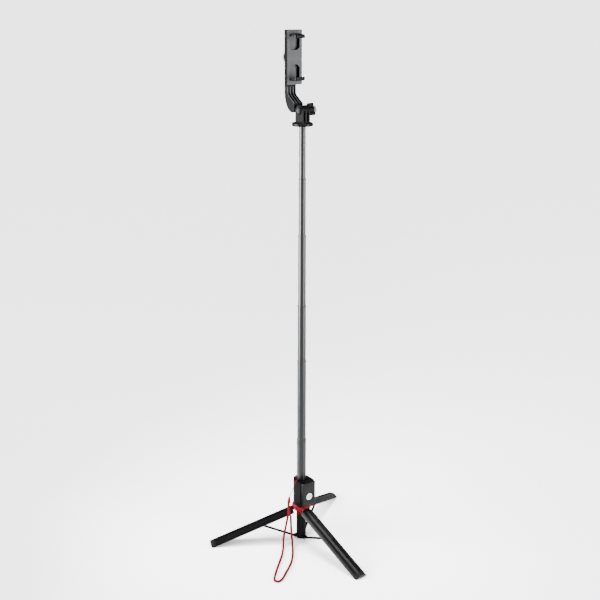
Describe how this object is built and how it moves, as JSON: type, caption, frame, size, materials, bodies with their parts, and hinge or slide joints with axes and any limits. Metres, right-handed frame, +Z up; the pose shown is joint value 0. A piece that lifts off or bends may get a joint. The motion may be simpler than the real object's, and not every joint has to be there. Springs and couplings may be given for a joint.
{
  "type": "selfie stick",
  "caption": "Selfie stick with a telescopic mast, folding tripod, docked remote and a swivelling phone clamp.",
  "frame": {"origin": "the point on the floor under the mast's axis", "axes": "+Z up along the mast, -Y towards the remote and the phone clamp's front, +X towards the tilt knob"},
  "size_m": [0.3044, 0.2662, 0.9198],
  "materials": {
    "black_plastic": "fine grained",
    "gloss_black": "polished",
    "red_plastic": "satin",
    "column_metal": "satin gunmetal",
    "tube_metal": "drawn and polished",
    "steel": "plated",
    "brass": "turned",
    "white_plastic": "smooth",
    "grey_rubber": "moulded",
    "holder_grey": "fine grained",
    "red_cord": "braided",
    "board": "solder mask"
  },
  "bodies": {
    "grip": {"hub_collar": "red_plastic", "hub_core": "black_plastic", "column_bush": "white_plastic", "leg_hinge_pins": "steel", "handle_front_shell": "black_plastic", "handle_rear_shell": "black_plastic", "handle_screws": "steel", "strap_string": "red_cord", "strap_bead": "red_plastic", "strap_slider": "red_plastic", "strap_loop": "red_cord"},
    "column": {"column_tube": "column_metal", "column_ferrule": "tube_metal", "column_sleeve": "black_plastic", "strut_bracket": "black_plastic", "bracket_screw": "steel"},
    "mast_5": {"tube_5": "tube_metal", "glide_5": "white_plastic"},
    "mast_4": {"tube_4": "tube_metal", "glide_4": "white_plastic"},
    "mast_3": {"tube_3": "tube_metal", "glide_3": "white_plastic"},
    "mast_2": {"tube_2": "tube_metal", "glide_2": "white_plastic"},
    "mast_1": {"tube_1": "tube_metal", "glide_1": "white_plastic", "head_base": "black_plastic", "pivot_bolt": "steel"},
    "knob": {"knob": "black_plastic", "knob_insert": "brass", "knob_cap": "grey_rubber"},
    "arm": {"arm": "black_plastic", "arm_cap": "black_plastic"},
    "holder": {"holder_front": "holder_grey", "holder_back": "holder_grey", "holder_screws": "steel", "clamp_springs": "steel", "swivel_screw": "steel", "swivel_washer": "steel"},
    "clamp": {"clamp_slider": "holder_grey"},
    "claw_up": {"claw_upper": "black_plastic", "claw_pad_upper": "grey_rubber"},
    "claw_low": {"claw_lower": "black_plastic", "claw_pad_lower": "grey_rubber"},
    "remote": {"remote_front": "gloss_black", "remote_back": "black_plastic", "remote_pcb": "board", "remote_battery": "steel"},
    "button": {"remote_button": "white_plastic"},
    "leg_front": {"leg_front": "black_plastic", "foot_front": "grey_rubber"},
    "strut_front": {"strut_front": "black_plastic"},
    "leg_left": {"leg_left": "black_plastic", "foot_left": "grey_rubber"},
    "strut_left": {"strut_left": "black_plastic"},
    "leg_right": {"leg_right": "black_plastic", "foot_right": "grey_rubber"},
    "strut_right": {"strut_right": "black_plastic"}
  },
  "joints": [
    {"name": "column_slide", "type": "slide", "parent": "grip", "child": "column", "axis": [0, 0, -1], "range_m": [0, 0.094]},
    {"name": "leg_front_fold", "type": "hinge", "parent": "grip", "child": "leg_front", "pos_m": [0, -0.0136, 0.0657], "axis": [1, 0, 0], "range_deg": [0, 68.4]},
    {"name": "strut_front_fold", "type": "hinge", "parent": "leg_front", "child": "strut_front", "pos_m": [0, -0.08339, 0.03635], "axis": [-1, 0, 0], "range_deg": [0, 133.83]},
    {"name": "leg_left_fold", "type": "hinge", "parent": "grip", "child": "leg_left", "pos_m": [-0.01178, 0.0068, 0.0657], "axis": [-0.5, -0.866, 0], "range_deg": [0, 68.4]},
    {"name": "strut_left_fold", "type": "hinge", "parent": "leg_left", "child": "strut_left", "pos_m": [-0.07222, 0.0417, 0.03635], "axis": [0.5, 0.866, 0], "range_deg": [0, 133.83]},
    {"name": "leg_right_fold", "type": "hinge", "parent": "grip", "child": "leg_right", "pos_m": [0.01178, 0.0068, 0.0657], "axis": [-0.5, 0.866, 0], "range_deg": [0, 68.4]},
    {"name": "strut_right_fold", "type": "hinge", "parent": "leg_right", "child": "strut_right", "pos_m": [0.07222, 0.0417, 0.03635], "axis": [0.5, -0.866, 0], "range_deg": [0, 133.83]},
    {"name": "tube_5_slide", "type": "slide", "parent": "column", "child": "mast_5", "axis": [0, 0, -1], "range_m": [0, 0.143]},
    {"name": "tube_4_slide", "type": "slide", "parent": "mast_5", "child": "mast_4", "axis": [0, 0, -1], "range_m": [-0.04, 0.1003]},
    {"name": "tube_3_slide", "type": "slide", "parent": "mast_4", "child": "mast_3", "axis": [0, 0, -1], "range_m": [-0.012, 0.1223]},
    {"name": "tube_2_slide", "type": "slide", "parent": "mast_3", "child": "mast_2", "axis": [0, 0, -1], "range_m": [-0.032, 0.0943]},
    {"name": "tube_1_slide", "type": "slide", "parent": "mast_2", "child": "mast_1", "axis": [0, 0, -1], "range_m": [-0.032, 0.0868]},
    {"name": "head_tilt", "type": "hinge", "parent": "mast_1", "child": "arm", "pos_m": [0, 0, 0.793], "axis": [1, 0, 0], "range_deg": [-10, 90]},
    {"name": "knob_turn", "type": "hinge", "parent": "mast_1", "child": "knob", "pos_m": [0.0145, 0, 0.793], "axis": [1, 0, 0], "continuous": true},
    {"name": "holder_swivel", "type": "hinge", "parent": "arm", "child": "holder", "pos_m": [0, 0.0288, 0.8764], "axis": [0, 1, 0], "range_deg": [-90, 90]},
    {"name": "clamp_slide", "type": "slide", "parent": "holder", "child": "clamp", "axis": [0, 0, 1], "range_m": [0, 0.022], "stiffness_N_per_m": 150, "springref_m": -0.004, "deforming": ["clamp_springs"]},
    {"name": "claw_upper_fold", "type": "hinge", "parent": "clamp", "child": "claw_up", "pos_m": [0, 0.0224, 0.9112], "axis": [1, 0, 0], "range_deg": [0, 90]},
    {"name": "claw_lower_fold", "type": "hinge", "parent": "holder", "child": "claw_low", "pos_m": [0, 0.0224, 0.8416], "axis": [-1, 0, 0], "range_deg": [0, 90]},
    {"name": "remote_pull", "type": "slide", "parent": "grip", "child": "remote", "axis": [0, -1, 0], "range_m": [0, 0.012]},
    {"name": "button_press", "type": "slide", "parent": "remote", "child": "button", "axis": [0, 1, 0], "range_m": [0, 0.0005], "stiffness_N_per_m": 800, "springref_m": -0.0005}
  ],
  "couplings": [
    {"joint": "leg_front_fold", "follows": "column_slide", "rad_per_m": 12.7},
    {"joint": "strut_front_fold", "follows": "column_slide", "rad_per_m": 24.848},
    {"joint": "leg_left_fold", "follows": "column_slide", "rad_per_m": 12.7},
    {"joint": "strut_left_fold", "follows": "column_slide", "rad_per_m": 24.848},
    {"joint": "leg_right_fold", "follows": "column_slide", "rad_per_m": 12.7},
    {"joint": "strut_right_fold", "follows": "column_slide", "rad_per_m": 24.848}
  ]
}
